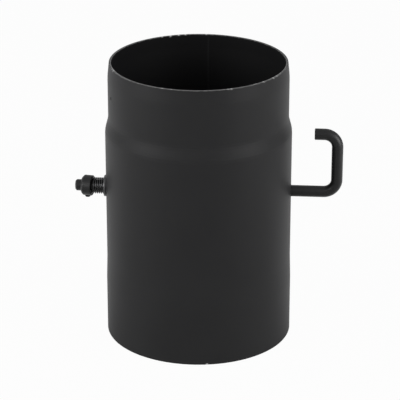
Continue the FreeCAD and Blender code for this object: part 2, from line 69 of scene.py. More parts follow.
LOG = logging.getLogger("stove_pipe_damper")
MM = 0.001
# Points closer together than this become one point.
MERGE = 0.002
# Edges that bend less than this are shaded smooth.
SMOOTH_BELOW = math.radians(34)
# How far a cutting tool reaches past the faces that it cuts.
OVERRUN = 2


def span(node: str, axis: int = 0) -> Point:
    """Lowest and highest place of a CAD node along an axis, in millimetres."""
    low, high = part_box(node)
    return round(low[axis] / MM, 2), round(high[axis] / MM, 2)


def extent(node: str, axis: int = 0) -> float:
    """Size of a CAD node along an axis, in millimetres."""
    low, high = span(node, axis)
    return high - low


MOUNTS = {mount["name"]: mount["dims"] for mount in frame["record"]["mounts"]}
SPINDLE_HEIGHT = frame["joints"][0]["pos_m"][2] / MM
PIPE_LENGTH = span("pipe_body", 2)[1]
SHEET = 2
RIM_LEAN = 1.3
RIM_RADIUS = MOUNTS["spigot"]["r_mm"] - RIM_LEAN
BAR_RADIUS = 5
SPINDLE_HOLE = BAR_RADIUS + 0.25
BOLT_OFFSET = 40


class Body(str, Enum):
    """The two bodies of the joint."""

    PIPE = "pipe"
    SPINDLE = "spindle"


class Slot(str, Enum):
    """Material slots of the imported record."""

    PAINT = "stove_paint"
    BAR = "blackened_bar"
    PLATED = "plated_fasteners"
    WASHER = "dull_washers"
    SPRING = "spring_steel"
    OXIDE = "black_oxide"


class Axis(Enum):
    """Turns that lay a piece's own Z axis along a direction."""

    UP = Euler((0, 0, 0))
    DOWN = Euler((math.pi, 0, 0))
    TO_HANDLE = Euler((0, math.pi / 2, 0))
    TO_COLLAR = Euler((0, -math.pi / 2, 0))
    TO_BACK = Euler((-math.pi / 2, 0, 0))
    TO_FRONT = Euler((math.pi / 2, 0, 0))


class Cut(str, Enum):
    """What a tool solid does to a piece."""

    AWAY = "DIFFERENCE"
    COMMON = "INTERSECT"
    JOIN = "UNION"


@dataclass(frozen=True)
class Thread:
    """A metric screw thread, with the slope of its flanks, the width of its crest and its rows to a pitch."""

    radius: float
    pitch: float
    depth: float
    clear_hole: float
    chamfer: float = 0.6
    tapped_play: float = 0.05
    flank: float = 1.3
    crest: float = 0.15
    rows: int = 8
    columns: int = 28


M5 = Thread(radius=2.5, pitch=0.8, depth=0.28, clear_hole=2.75)


def linear(hex_colour: str) -> Colour:
    """Turns an sRGB hex colour into linear RGBA.

    Args:
        hex_colour: Six hex digits after a hash sign.

    Returns:
        Linear red, green, blue and an alpha of one.
    """
    channels = [int(hex_colour[i:i + 2], 16) / 255 for i in (1, 3, 5)]
    red, green, blue = [c / 12.92 if c <= 0.04045 else ((c + 0.055) / 1.055) ** 2.4 for c in channels]
    return red, green, blue, 1.0


def per_metre(millimetres: float) -> float:
    """Texture scale that gives features of a real size in millimetres."""
    return 1 / (millimetres * MM)


def feed(tree: Tree, node: Node, inputs: Inputs) -> None:
    """Sets or links inputs of a node.

    Args:
        tree: Shader or geometry node tree.
        node: The node.
        inputs: For each input, by name or number, a value, a source socket, or a node for its first output.
    """
    for name, value in inputs.items():
        source = value.outputs[0] if isinstance(value, Node) else value
        if isinstance(source, Socket):
            tree.links.new(source, node.inputs[name])
        else:
            node.inputs[name].default_value = source


def add_node(tree: Tree, kind: str, inputs: Inputs | None = None, **settings: object) -> Node:
    """Adds a node with its settings and links.

    Args:
        tree: Shader or geometry node tree.
        kind: The node's type name.
        inputs: What goes into each input, as feed takes it.
        settings: Properties of the node.

    Returns:
        The new node.
    """
    node = tree.nodes.new(kind)
    for name, value in settings.items():
        setattr(node, name, value)
    feed(tree, node, inputs or {})
    return node


def rounded(corners: Sequence[Corner], step: float = math.radians(9)) -> list[Point]:
    """Rounds the corners of a closed outline.

    Args:
        corners: Radius from the axis, height and rounding of each corner.
        step: Largest turn between two points of a rounding.

    Returns:
        The outline's points.
    """
    points: list[Point] = []
    spots = [Vector(corner[:2]) for corner in corners]
    for index, (*_, radius) in enumerate(corners):
        here = spots[index]
        back = (spots[index - 1] - here).normalized()
        ahead = (spots[(index + 1) % len(spots)] - here).normalized()
        opening = back.angle(ahead)
        if not radius:
            points.append(tuple(here))
            continue
        centre = here + (back + ahead).normalized() * (radius / math.sin(opening / 2))
        start = here + back * (radius / math.tan(opening / 2)) - centre
        turn = math.pi - opening
        turn = turn if back.cross(ahead) < 0 else -turn
        count = max(2, math.ceil(abs(turn) / step))
        for stop in range(count + 1):
            points.append(tuple(centre + Matrix.Rotation(turn * stop / count, 2) @ start))
    return points


def held(points: Sequence[Point], longest: float, hold: float) -> list[Point]:
    """Adds points on an outline's long runs, so that shading stays flat there.

    Args:
        points: A closed outline.
        longest: Longest run that is left whole.
        hold: Distance of the first added point from a run's ends.

    Returns:
        The outline with the added points.
    """
    result: list[Point] = []
    for a, b in zip(points, [*points[1:], points[0]]):
        result.append(a)
        length = math.dist(a, b)
        if length <= 3 * hold:
            continue
        inner = max(1, math.ceil((length - 2 * hold) / longest))
        for stop in range(inner + 1):
            share = (hold + (length - 2 * hold) * stop / inner) / length
            result.append((a[0] + (b[0] - a[0]) * share, a[1] + (b[1] - a[1]) * share))
    return result


def softened(spots: Sequence[Point], roundings: Sequence[float]) -> list[Corner]:
    """Corners made of places and their roundings."""
    return [(*spot, rounding) for spot, rounding in zip(spots, roundings)]


def even_angles(count: int) -> list[float]:
    """Angles that divide a turn evenly."""
    return [2 * math.pi * index / count for index in range(count)]


def turned(
    outline: Sequence[Point],
    angles: Sequence[float],
    shift: Callable[[int, float], float] = lambda row, angle: 0.0,
) -> Mesh:
    """Turns a closed outline about Z, as on a lathe.

    Args:
        outline: Radius and height of each point; points on the axis close the shape there.
        angles: Angles of the columns.
        shift: What is added to the radius, by number of the outline's point and angle.

    Returns:
        The mesh, in millimetres.
    """
    mesh = bmesh.new()
    rows = []
    for index, (radius, height) in enumerate(outline):
        if radius < MERGE:
            rows.append([mesh.verts.new((0, 0, height))] * len(angles))
            continue
        row = []
        for angle in angles:
            reach = radius + shift(index, angle)
            row.append(mesh.verts.new((reach * math.cos(angle), reach * math.sin(angle), height)))
        rows.append(row)
    for low, high in zip(rows, [*rows[1:], rows[0]]):
        for i in range(len(angles)):
            j = (i + 1) % len(angles)
            corners = list(dict.fromkeys((low[i], low[j], high[j], high[i])))
            if len(corners) > 2:
                mesh.faces.new(corners)
    return mesh


def threaded(outline: Sequence[Point], thread: Thread) -> Mesh:
    """Turns a solid whose outside carries a screw thread.

    Args:
        outline: Radius and height from bottom to top, without the points on the axis.
        thread: The thread.

    Returns:
        The mesh, in millimetres.
    """
    bottom, top = outline[0][1], outline[-1][1]
    crest = max(radius for radius, _ in outline)
    count = math.ceil((top - bottom) / thread.pitch * thread.rows)
    rows: list[Point] = []
    for stop in range(count + 1):
        height = bottom + (top - bottom) * stop / count
        for (r0, z0), (r1, z1) in zip(outline, outline[1:]):
            if z0 <= height <= z1:
                rows.append((r0 + (r1 - r0) * (height - z0) / (z1 - z0), height))
                break

    def groove(row: int, angle: float) -> float:
        """How far the thread cuts in below the plain outline."""
        if not 0 < row <= len(rows):
            return 0.0
        radius, height = rows[row - 1]
        phase = (height / thread.pitch - angle / (2 * math.pi)) % 1
        fall = thread.flank * abs(2 * phase - 1) - thread.crest
        return min(radius, crest - thread.depth * min(1.0, max(0.0, fall))) - radius

    return turned([(0.0, bottom), *rows, (0.0, top)], even_angles(thread.columns), groove)


def prism(width: float, low: float, high: float) -> Mesh:
    """A hexagon prism along Z, of a width across flats, between two heights."""
    radius = width / math.sqrt(3)
    return turned([(0, low), (radius, low), (radius, high), (0, high)], even_angles(6))


def slit_ring(inner: float, outer: float, top: float, bevel: Corner, slit: float, facing: float) -> Mesh:
    """A ring along Z from the origin, slit on one side and bevelled at both ends.

    Args:
        inner: Inner radius.
        outer: Outer radius.
        top: Height of the ring.
        bevel: Height of a bevel, and what it takes off inside and outside.
        slit: Width of the slit.
        facing: Direction of the slit.

    Returns:
        The mesh, in millimetres.
    """
    columns = 40
    rise, inner_cut, outer_cut = bevel
    ends = (inner + inner_cut, outer - outer_cut)
    mesh = bmesh.new()
    rows = []
    for height, radii in ((0, ends), (rise, (inner, outer)), (top - rise, (inner, outer)), (top, ends)):
        row = []
        for radius in radii:
            edge = math.asin(slit / 2 / radius)
            spread = [facing + edge + (2 * math.pi - 2 * edge) * i / columns for i in range(columns + 1)]
            row.append([mesh.verts.new((radius * math.cos(a), radius * math.sin(a), height)) for a in spread])
        rows.append(row)
    for (low_in, low_out), (high_in, high_out) in zip(rows, rows[1:]):
        for i in range(columns):
            mesh.faces.new((low_out[i], low_out[i + 1], high_out[i + 1], high_out[i]))
            mesh.faces.new((low_in[i + 1], low_in[i], high_in[i], high_in[i + 1]))
        for end in (0, columns):
            mesh.faces.new((low_in[end], low_out[end], high_out[end], high_in[end]))
    for inside, outside in (rows[0], rows[-1]):
        for i in range(columns):
            mesh.faces.new((inside[i], inside[i + 1], outside[i + 1], outside[i]))
    return mesh


def make_piece(name: str, mesh: Mesh, axis: Axis = Axis.UP, at: Sequence[float] = (0, 0, 0)) -> Piece:
    """Makes an object of a mesh in millimetres, with its place in its vertices.

    Args:
        name: The object's name.
        mesh: The mesh, which is used up.
        axis: Direction that the mesh's Z axis gets.
        at: Where the mesh's origin goes.

    Returns:
        The new object, in metres.
    """
    bmesh.ops.remove_doubles(mesh, verts=mesh.verts, dist=MERGE)
    bmesh.ops.recalc_face_normals(mesh, faces=mesh.faces)
    mesh.transform(Matrix.Scale(MM, 4) @ Matrix.Translation(at) @ axis.value.to_matrix().to_4x4())
    data = bpy.data.meshes.new(name)
    mesh.to_mesh(data)
    mesh.free()
    piece = bpy.data.objects.new(name, data)
    bpy.context.scene.collection.objects.link(piece)
    return piece


def settle(piece: Piece) -> None:
    """Turns a piece and its modifiers into a plain mesh.

    Args:
        piece: The piece.
    """
    view = bpy.context.evaluated_depsgraph_get()
    data = bpy.data.meshes.new_from_object(piece.evaluated_get(view))
    piece.modifiers.clear()
    piece.data = data


def apply_tool(piece: Piece, tool: Piece, cut: Cut = Cut.AWAY) -> None:
    """Cuts a piece with a tool solid, or joins them, and removes the tool.

    Args:
        piece: The piece.
        tool: The tool solid.
        cut: What the tool does to the piece.
    """
    modifier = piece.modifiers.new("tool", "BOOLEAN")
    modifier.operation = cut.value
    modifier.solver = "EXACT"
    modifier.object = tool
    settle(piece)
    bpy.data.objects.remove(tool)


def drill(
    piece: Piece, radius: float, depth: float, axis: Axis, at: Sequence[float], columns: int = 40,
) -> None:
    """Drills a round hole into a piece.

    Args:
        piece: The piece.
        radius: The hole's radius.
        depth: Its depth.
        axis: Direction in which it goes.
        at: Middle of its mouth.
        columns: Faces round the hole.
    """
    bit = turned([(0, 0), (radius, 0), (radius, depth), (0, depth)], even_angles(columns))
    apply_tool(piece, make_piece("drill_bit", bit, axis, at))


def run_tree(piece: Piece, tree: Tree, values: dict[str, float]) -> None:
    """Runs a geometry tree on a piece and keeps its result as a plain mesh.

    Args:
        piece: The object that the tree works on.
        tree: The geometry node tree.
        values: Value of each named input, with lengths in metres.
    """
    modifier = piece.modifiers.new(tree.name, "NODES")
    modifier.node_group = tree
    for item in tree.interface.items_tree:
        if item.in_out == "INPUT" and item.name in values:
            modifier[item.identifier] = values[item.name]
    settle(piece)


def start_tree(name: str, inputs: Sequence[str]) -> tuple[Tree, Node]:
    """Starts a geometry tree with a geometry socket each way and named number inputs.

    Args:
        name: The tree's name.
        inputs: Names of the number inputs.

    Returns:
        The tree and its input node.
    """
    tree = bpy.data.node_groups.new(name, "GeometryNodeTree")
    tree.interface.new_socket("Geometry", in_out="INPUT", socket_type="NodeSocketGeometry")
    tree.interface.new_socket("Geometry", in_out="OUTPUT", socket_type="NodeSocketGeometry")
    for label in inputs:
        tree.interface.new_socket(label, in_out="INPUT", socket_type="NodeSocketFloat")
    return tree, add_node(tree, "NodeGroupInput")


def end_tree(tree: Tree, shape: Node, material: Material) -> None:
    """Ends a geometry tree with real geometry of one material.

    Args:
        tree: The geometry node tree.
        shape: The node that gives the shape.
        material: The material.
    """
    real = add_node(tree, "GeometryNodeRealizeInstances", {"Geometry": shape})
    dressed = add_node(tree, "GeometryNodeSetMaterial", {"Geometry": real, "Material": material})
    add_node(tree, "NodeGroupOutput", {"Geometry": dressed})


def clean(piece: Piece) -> None:
    """Merges points that cutting left almost together, and removes faces without area.

    Args:
        piece: The piece.
    """
    mesh = bmesh.new()
    mesh.from_mesh(piece.data)
    bmesh.ops.remove_doubles(mesh, verts=mesh.verts, dist=MERGE * MM)
    bmesh.ops.dissolve_degenerate(mesh, edges=mesh.edges, dist=MERGE * MM)
    bmesh.ops.triangulate(mesh, faces=[face for face in mesh.faces if len(face.verts) > 4])
    bmesh.ops.dissolve_degenerate(mesh, edges=mesh.edges, dist=MERGE * MM)
    mesh.to_mesh(piece.data)
    mesh.free()


def hand_over(piece: Piece, body: Body, node: str, material: Material) -> None:
    """Cleans and shades a finished piece, gives it its material, hangs it on its body and hides the CAD node
    that it stands for.

    Args:
        piece: The finished piece.
        body: Body that it moves with.
        node: CAD node that it stands for.
        material: Its material.
    """
    clean(piece)
    data = piece.data
    data.polygons.foreach_set("use_smooth", [True] * len(data.polygons))
    data.set_sharp_from_angle(angle=SMOOTH_BELOW)
    data.materials.clear()
    data.materials.append(material)
    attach(piece, body.value)
    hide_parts(node)
    LOG.info("%s: %d faces, stands for %s", piece.name, len(data.polygons), node)


class Finish:
    """A surface finish that becomes one material."""

    name: str

    def material(self) -> Material:
        """Makes the material.

        Returns:
            The new material.
        """
        material = bpy.data.materials.new(self.name)
        material.use_nodes = True
        self.dress(material.node_tree, material.node_tree.nodes["Principled BSDF"])
        return material

    def dress(self, tree: Tree, shader: Node) -> None:
        """Adds the finish's own nodes to the shader."""
        raise NotImplementedError


@dataclass(frozen=True)
class Spot:
    """A place where the paint is hurt: round a point, or round a ring given by its radius and height."""

    centre: Corner
    reach: float
    share: float = 1.0


@dataclass(frozen=True)
class StovePaint(Finish):
    """Heat-resistant silicone paint, sprayed matt black on rolled sheet steel.

    The eye sees a deep grey that is a little uneven, with a fine dry grain, a painted shade that darkens the
    inside of the pipe, and bright steel where the sharp rims have lost their paint.
    """

    name: str = "heat_resistant_matt_paint"
    colour: str = "#2b2b2c"
    cloud_colour: str = "#313132"
    # Painted shade: the whole inside of the pipe gets this darker colour for the shade that falls in it.
    inner_shade_colour: str = "#19191a"
    # Painted shade of the pit below.
    pit_shade_colour: str = "#0a0a0a"
    steel: str = "#e2e2e2"
    smoothest: float = 0.45
    roughest: float = 0.57
    inner_dulling: float = 0.1
    specular: float = 0.17
    cloud: float = 46
    # The real grain is about a tenth of a millimetre, too fine to show, so it is drawn coarser.
    grain: float = 0.7
    grain_height: float = 0.02
    patch: float = 3.2
    ragged: float = 1.6
    fade: float = 1.7
    # Thin paint along the rim's outer and inner edge, less of it bare on the far side.
    rims: tuple[Spot, ...] = (
        Spot((RIM_RADIUS - 0.3, PIPE_LENGTH, 0), 0.5, 0.3),
        Spot((RIM_RADIUS - 1.4, PIPE_LENGTH, 0), 1.0, 0.5),
    )
    back_wear: float = 0.6
    back_reach: float = 30
    chip_radius: float = RIM_RADIUS - 1.3
    chip_height: float = PIPE_LENGTH + 0.7
    # Direction in degrees and reach of each chip in the upper rim.
    rim_chips: tuple[Point, ...] = (
        (200, 2), (203, 2.8), (251, 2.2), (257, 1.6), (290.5, 1.8), (292.5, 2.6), (295, 2.6), (311.5, 1.9),
        (313.5, 2.3), (319.5, 2.2), (329.5, 2.2), (334, 2.4), (89, 2), (103, 2), (108, 2.2), (113.5, 2.8),
        (119.5, 2.2),
    )
    nick: Spot = Spot((13.6, -81.6, 0.2), 2.2)
    # Painted shade: a near-black spot on the spigot stands for the shade in a pit that has no geometry.
    pits: tuple[Spot, ...] = (Spot((-72.9, -29.1, 224), 2.6),)

    def dress(self, tree: Tree, shader: Node) -> None:
        """Paint with clouds and grain, painted shade inside the pipe and in a pit, and bare steel at the rims
        and chips.

        Args:
            tree: The material's tree.
            shader: Its shader.
        """
        place = add_node(tree, "ShaderNodeTexCoord").outputs["Object"]
        inside = add_node(tree, "ShaderNodeAttribute", attribute_name="inside").outputs["Fac"]
        clouds = add_node(tree, "ShaderNodeTexNoise", {
            "Vector": place, "Scale": per_metre(self.cloud), "Detail": 3.0,
        })
        grain = add_node(tree, "ShaderNodeTexNoise", {
            "Vector": place, "Scale": per_metre(self.grain), "Detail": 2.0,
        })
        bare, pitted = self.hurt_paint(tree, place)
        colour = linear(self.colour)
        # The inside layer is painted shade that darkens the pipe's inside; the pit layer is painted shade
        # too.
        layers = (
            (clouds, self.cloud_colour), (inside, self.inner_shade_colour),
            (pitted, self.pit_shade_colour), (bare, self.steel),
        )
        for share, tone in layers:
            mix = add_node(tree, "ShaderNodeMix", {0: share, 6: colour, 7: linear(tone)}, data_type="RGBA")
            colour = mix.outputs[2]
        dull = add_node(tree, "ShaderNodeMapRange", {
            "Value": grain, "To Min": self.smoothest, "To Max": self.roughest,
        })
        dull = add_node(tree, "ShaderNodeMath", {
            0: inside, 1: self.inner_dulling, 2: dull,
        }, operation="MULTIPLY_ADD")
        dull = add_node(tree, "ShaderNodeMath", {0: dull, 1: pitted}, operation="MAXIMUM")
        bump = add_node(tree, "ShaderNodeBump", {
            "Height": grain, "Distance": self.grain_height * MM, "Strength": 0.5,
        })
        feed(tree, shader, {
            "Base Color": colour, "Metallic": bare, "Roughness": dull, "Normal": bump,
            "Specular IOR Level": self.specular,
        })

    def hurt_paint(self, tree: Tree, place: Socket) -> tuple[Node, Node]:
        """Masks of the places where the paint is gone and where it is pitted.

        Args:
            tree: The material's tree.
            place: Object coordinates.

        Returns:
            Nodes whose output is one on bare steel and one in a pit.
        """
        flat = add_node(tree, "ShaderNodeVectorMath", {0: place, 1: (1, 1, 0)}, operation="MULTIPLY")
        radius = add_node(tree, "ShaderNodeVectorMath", {0: flat}, operation="LENGTH").outputs["Value"]
        spot = add_node(tree, "ShaderNodeSeparateXYZ", {0: place}).outputs
        section = add_node(tree, "ShaderNodeCombineXYZ", {0: radius, 1: spot["Z"]})
        patches = add_node(tree, "ShaderNodeTexNoise", {
            "Vector": place, "Scale": per_metre(self.patch), "Detail": 4.0, "Roughness": 0.7,
        })
        back = add_node(tree, "ShaderNodeMapRange", {
            "Value": spot["Y"], "From Min": -self.back_reach * MM, "From Max": self.back_reach * MM,
            "To Min": 1.0, "To Max": self.back_wear,
        })
        rims = self.largest(tree, section, patches, self.rims)
        worn = add_node(tree, "ShaderNodeMath", {0: rims, 1: back}, operation="MULTIPLY")
        chips = [self.nick]
        for degrees, reach in self.rim_chips:
            x, y = Matrix.Rotation(math.radians(degrees), 2) @ Vector((self.chip_radius, 0))
            chips.append(Spot((x, y, self.chip_height), reach))
        chipped = self.largest(tree, place, patches, chips)
        bare = add_node(tree, "ShaderNodeMath", {0: worn, 1: chipped}, operation="MAXIMUM")
        return bare, self.largest(tree, place, patches, self.pits)

    def largest(self, tree: Tree, source: Node | Socket, patches: Node, spots: Sequence[Spot]) -> Node:
        """Largest of the masks round some spots, with ragged edges.

        Args:
            tree: The material's tree.
            source: Coordinates that the spots are given in.
            patches: Noise that makes the edges ragged.
            spots: The spots.

        Returns:
            Node of the mask.
        """
        total = None
        for spot in spots:
            centre, reach = Vector(spot.centre) * MM, spot.reach * MM
            away = add_node(tree, "ShaderNodeVectorMath", {0: source, 1: centre}, operation="DISTANCE")
            ragged = add_node(tree, "ShaderNodeMath", {
                0: patches, 1: self.ragged * reach, 2: away.outputs["Value"],
            }, operation="MULTIPLY_ADD")
            mask = add_node(tree, "ShaderNodeMapRange", {
                "Value": ragged, "From Min": reach, "From Max": self.fade * reach,
                "To Min": spot.share, "To Max": 0.0,
            }, interpolation_type="SMOOTHSTEP")
            if total is not None:
                mask = add_node(tree, "ShaderNodeMath", {0: total, 1: mask}, operation="MAXIMUM")
            total = mask
        return total


@dataclass(frozen=True)
class MarkedMetal(Finish):
    """Metal whose colour and dullness vary in patches, with fine marks from its making."""

    name: str
    colour: str
    stain: str
    roughness: float
    spread: float = 0.1
    patch: float = 3.0
    mark_height: float = 0.008
    mark_strength: float = 0.5

    def show(self, tree: Tree, shader: Node, patches: Node, marks: Node) -> None:
        """Gives the shader the patches and the marks.

        Args:
            tree: The material's tree.
            shader: Its shader.
            patches: Noise of the patches.
            marks: Noise of the marks.
        """
        tone = add_node(tree, "ShaderNodeMix", {
            0: patches, 6: linear(self.colour), 7: linear(self.stain),
        }, data_type="RGBA")
        dull = add_node(tree, "ShaderNodeMapRange", {
            "Value": patches, "To Min": self.roughness - self.spread, "To Max": self.roughness + self.spread,
        })
        bump = add_node(tree, "ShaderNodeBump", {
            "Height": marks, "Distance": self.mark_height * MM, "Strength": self.mark_strength,
        })
        feed(tree, shader, {"Base Color": tone.outputs[2], "Roughness": dull, "Normal": bump})


@dataclass(frozen=True)
class DrawnBar(MarkedMetal):
    """Cold-drawn round bar under a thin coat of black paint.

    The eye sees a smooth dark bar whose faint lengthwise draw marks catch the light.
    """

    specular: float = 0.45
    # Real draw marks are too fine to show, so they are drawn wider.
    mark_width: float = 0.5
    mark_length: float = 60

    def dress(self, tree: Tree, shader: Node) -> None:
        """Draw marks along the bar's own length, from its UV map in metres, under uneven paint.

        Args:
            tree: The material's tree.
            shader: Its shader.
        """
        place = add_node(tree, "ShaderNodeTexCoord").outputs
        scale = (per_metre(self.mark_length), per_metre(self.mark_width), 1)
        along = add_node(tree, "ShaderNodeMapping", {"Vector": place["UV"], "Scale": scale})
        marks = add_node(tree, "ShaderNodeTexNoise", {"Vector": along, "Scale": 1.0, "Detail": 3.0})
        clouds = add_node(tree, "ShaderNodeTexNoise", {
            "Vector": place["Object"], "Scale": per_metre(self.patch), "Detail": 4.0,
        })
        self.show(tree, shader, clouds, marks)
        feed(tree, shader, {"Specular IOR Level": self.specular})


@dataclass(frozen=True)
class DarkMetal(MarkedMetal):
    """Bare or chemically darkened steel, turned, drawn, punched or plated.

    The eye sees metal that is a little stained, with fine tool marks; colour and dullness tell the kinds
    apart.
    """

    # Real tool marks are too fine to show, so they are drawn coarser.
    mark: float = 0.35

    def dress(self, tree: Tree, shader: Node) -> None:
        """Stained metal with fine tool marks.

        Args:
            tree: The material's tree.
            shader: Its shader.
        """
        place = add_node(tree, "ShaderNodeTexCoord").outputs["Object"]
        stains = add_node(tree, "ShaderNodeTexNoise", {
            "Vector": place, "Scale": per_metre(self.patch), "Detail": 5.0, "Roughness": 0.6,
        })
        marks = add_node(tree, "ShaderNodeTexNoise", {
            "Vector": place, "Scale": per_metre(self.mark), "Detail": 2.0,
        })
        self.show(tree, shader, stains, marks)
        feed(tree, shader, {"Metallic": 1.0})


# Paint on the bar is thin and even, and a little glossier than on the sheet.
PAINTED_BAR = DrawnBar(
    "painted_drawn_bar", "#1d1d1e", "#262627", 0.4,
    spread=0.08, patch=14, mark_height=0.012, mark_strength=0.6,
)
# Zinc plate greys and clouds within months, so it is neither bright nor even.
ZINC = DarkMetal("zinc_plated_steel", "#b4b6b8", "#8e9092", 0.42)
# Punched washers keep a dull mill surface, darkened by heat.
MILL_STEEL = DarkMetal("dull_mill_steel", "#7c7c7d", "#505051", 0.34, patch=2.0)
# Spring wire is oil-hardened, which leaves it nearly black and half bright.
OILED_WIRE = DarkMetal("oil_hardened_spring_wire", "#707071", "#3c3c3d", 0.2)
# Black oxide is a thin dark skin on a ground screw.
BLACK_OXIDE = DarkMetal("black_oxide_steel", "#2a2a2c", "#1c1c1d", 0.42)


@dataclass
class FluePipe:
    """Rolled sheet pipe: socket below, straight body, swage and spigot above."""

    length: float = PIPE_LENGTH
    sheet: float = SHEET
    socket_outer: float = MOUNTS["socket"]["r_mm"] + SHEET
    socket_depth: float = MOUNTS["socket"]["length_mm"]
    sizing_top: float = 70
    body_outer: float = 81.4
    swage_low: float = 186
    swage_high: float = 202
    swage_bend: float = 20
    spigot_outer: float = MOUNTS["spigot"]["r_mm"]
    lean_low: float = 238
    rim_outer: float = RIM_RADIUS
    outer_edge: float = 0.35
    inner_edge: float = 0.25
    bottom_edge: float = 0.2
    soft_bend: float = 60
    columns: int = 192
    hole_columns: int = 64
    row_step: float = 7
    row_hold: float = 0.25
    seam_angle: float = math.radians(87.5)
    seam_width: float = 0.9
    seam_height: float = 0.22
    seam_end: float = 1
    # Painted light: the weld bead keeps less of the inside's painted shade, so it shows as a lighter line.
    seam_painted_light: float = 0.45
    seam_unit: float = 0.0131
    seam_clear: float = 0.02
    # Columns on one side of the weld bead's middle, in seam units, closer together near it.
    seam_columns: tuple[float, ...] = (0.2, 0.45, 0.75, 1.1, 1.6)

    def swage_corners(self) -> list[Corner]:
        """Works out the swage's two bends.

        Returns:
            Corners of the swage, up the outside and then down the inside.
        """
        step = self.body_outer - self.spigot_outer
        across = 2 * self.swage_bend - step
        rise = self.swage_high - self.swage_low
        slope = math.asin(2 * self.swage_bend / math.hypot(across, rise)) - math.atan2(across, rise)
        wide, tight = self.swage_bend + self.sheet / 2, self.swage_bend - self.sheet / 2
        share = math.tan(slope / 2)
        return [
            (self.body_outer, self.swage_low + wide * share, wide),
            (self.spigot_outer, self.swage_high - tight * share, tight),
            (self.spigot_outer - self.sheet, self.swage_high - wide * share, wide),
            (self.body_outer - self.sheet, self.swage_low + tight * share, tight),
        ]

    def wall(self) -> list[Corner]:
        """Lays out the wall's section.

        Returns:
            Corners of the wall's outside, going up, and of its inside, going down.
        """
        low_out, high_out, high_in, low_in = self.swage_corners()
        return [
            (self.socket_outer, 0, self.bottom_edge),
            (self.socket_outer, self.socket_depth, self.soft_bend),
            (self.body_outer, self.sizing_top, self.soft_bend),
            low_out, high_out,
            (self.spigot_outer, self.lean_low, self.soft_bend),
            (self.rim_outer, self.length, self.outer_edge),
            (self.rim_outer - self.sheet, self.length, self.inner_edge),
            (self.spigot_outer - self.sheet, self.lean_low, self.soft_bend),
            high_in, low_in,
            (self.body_outer - self.sheet, self.sizing_top, self.soft_bend),
            (self.socket_outer - self.sheet, self.socket_depth, self.soft_bend),
            (self.socket_outer - self.sheet, 0, self.bottom_edge),
        ]

    def middle(self, height: float) -> float:
        """Finds the middle of the wall.

        Args:
            height: Height above the bottom rim.

        Returns:
            Radius of the middle of the wall at that height.
        """
        outside = (
            (0, self.socket_outer), (self.socket_depth, self.socket_outer),
            (self.sizing_top, self.body_outer), (self.swage_low, self.body_outer),
            (self.swage_high, self.spigot_outer), (self.lean_low, self.spigot_outer),
            (self.length, self.rim_outer),
        )
        pairs = zip(outside, outside[1:])
        (z0, r0), (z1, r1) = next(pair for pair in pairs if height <= pair[1][0] + MERGE)
        return r0 + (r1 - r0) * (height - z0) / (z1 - z0) - self.sheet / 2

    def bead(self, radius: float, height: float, angle: float) -> float:
        """Shapes the weld bead.

        Args:
            radius: Distance of a place on the wall from the axis.
            height: Its height.
            angle: Its direction.

        Returns:
            Share of the bead's full height there, which is zero outside the pipe.
        """
        if radius > self.middle(height) or not self.seam_end < height < self.length - self.seam_end:
            return 0.0
        away = (angle - self.seam_angle) * radius / self.seam_width
        return math.exp(-away * away)

    def mark_inside(self, pipe: Piece) -> None:
        """Marks the inner side for the paint's painted shade and dulling, less so on the weld bead, whose
        lighter line is painted light.

        Args:
            pipe: The pipe.
        """
        marks = []
        for vertex in pipe.data.vertices:
            x, y, z = vertex.co / MM
            radius = math.hypot(x, y)
            bright = self.seam_painted_light * self.bead(radius, z, math.atan2(y, x))
            marks.append(float(radius < self.middle(z)) - bright)
        pipe.data.attributes.new("inside", "FLOAT", "POINT").data.foreach_set("value", marks)

    def build(self) -> Piece:
        """Turns the wall, raises the weld seam inside and drills the spindle holes.

        Returns:
            The pipe.
        """
        outline = held(rounded(self.wall()), self.row_step, self.row_hold)
        offsets = (*(-offset for offset in self.seam_columns), 0.0, *self.seam_columns)
        seam = [self.seam_angle + offset * self.seam_unit for offset in offsets]
        clear = max(seam) - self.seam_angle + self.seam_clear
        plain = [angle for angle in even_angles(self.columns) if abs(angle - self.seam_angle) > clear]

        def raised(row: int, angle: float) -> float:
            """The weld bead on the inside."""
            return -self.seam_height * self.bead(*outline[row], angle)

        pipe = make_piece("flue_pipe", turned(outline, sorted(plain + seam), raised))
        reach = self.socket_outer + OVERRUN
        at = (-reach, 0, SPINDLE_HEIGHT)
        drill(pipe, SPINDLE_HOLE, 2 * reach, Axis.TO_HANDLE, at, self.hole_columns)
        self.mark_inside(pipe)
        return pipe

    def dress(self, paint: Material) -> None:
        """Builds the pipe and gives it its paint."""
        hand_over(self.build(), Body.PIPE, "pipe_body", paint)


@dataclass
class Station:
    """One ring of the bent bar."""

    point: Vector
    outward: Vector
    along: float
    radius: float
    high: float
    low: float


